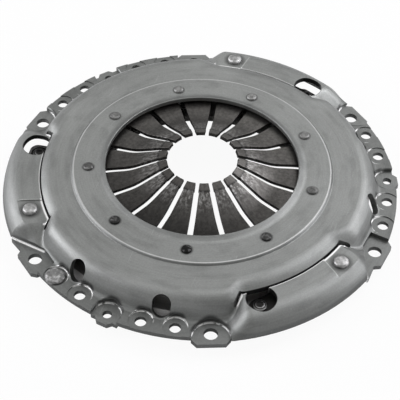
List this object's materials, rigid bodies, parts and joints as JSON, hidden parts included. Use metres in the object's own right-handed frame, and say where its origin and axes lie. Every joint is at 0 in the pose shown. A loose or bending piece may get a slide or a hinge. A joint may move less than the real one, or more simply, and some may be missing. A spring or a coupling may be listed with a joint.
{
  "type": "clutch pressure plate",
  "caption": "Push-type diaphragm spring clutch cover with a strap-driven pressure plate, shown uninstalled.",
  "frame": {"origin": "centre of the bolt circle in the mounting plane, the underside of the bolt pads", "axes": "+Z along the clutch axis towards the release bearing; +Y through the middle of the first strap pocket"},
  "size_m": [0.27, 0.2684, 0.0367],
  "materials": {
    "pressed_cover": "satin pressed sheet",
    "spring_steel": "dark tempered",
    "wire": "drawn",
    "strap_steel": "cold rolled",
    "rivet_steel": "plated",
    "plate_iron": "turned casting"
  },
  "bodies": {
    "cover": {"balance_rivet": "rivet_steel", "cover": "pressed_cover", "diaphragm_spring": "spring_steel", "distance_rivet_1": "rivet_steel", "distance_rivet_2": "rivet_steel", "distance_rivet_3": "rivet_steel", "distance_rivet_4": "rivet_steel", "distance_rivet_5": "rivet_steel", "distance_rivet_6": "rivet_steel", "distance_rivet_7": "rivet_steel", "distance_rivet_8": "rivet_steel", "distance_rivet_9": "rivet_steel", "lower_fulcrum_ring": "wire", "strap_1_cover_rivet": "rivet_steel", "strap_1_leaf_1": "strap_steel", "strap_1_leaf_2": "strap_steel", "strap_1_leaf_3": "strap_steel", "strap_2_cover_rivet": "rivet_steel", "strap_2_leaf_1": "strap_steel", "strap_2_leaf_2": "strap_steel", "strap_2_leaf_3": "strap_steel", "strap_3_cover_rivet": "rivet_steel", "strap_3_leaf_1": "strap_steel", "strap_3_leaf_2": "strap_steel", "strap_3_leaf_3": "strap_steel", "upper_fulcrum_ring": "wire"},
    "plate": {"pressure_plate": "plate_iron", "strap_1_plate_rivet": "rivet_steel", "strap_2_plate_rivet": "rivet_steel", "strap_3_plate_rivet": "rivet_steel"}
  },
  "joints": [
    {"name": "plate_lift", "type": "slide", "parent": "cover", "child": "plate", "axis": [0, 0, 1], "range_m": [0, 0.0045], "stiffness_N_per_m": 20000, "springref_m": -0.01, "deforming": ["diaphragm_spring", "strap_1_leaf_1", "strap_1_leaf_2", "strap_1_leaf_3", "strap_2_leaf_1", "strap_2_leaf_2", "strap_2_leaf_3", "strap_3_leaf_1", "strap_3_leaf_2", "strap_3_leaf_3"]}
  ]
}
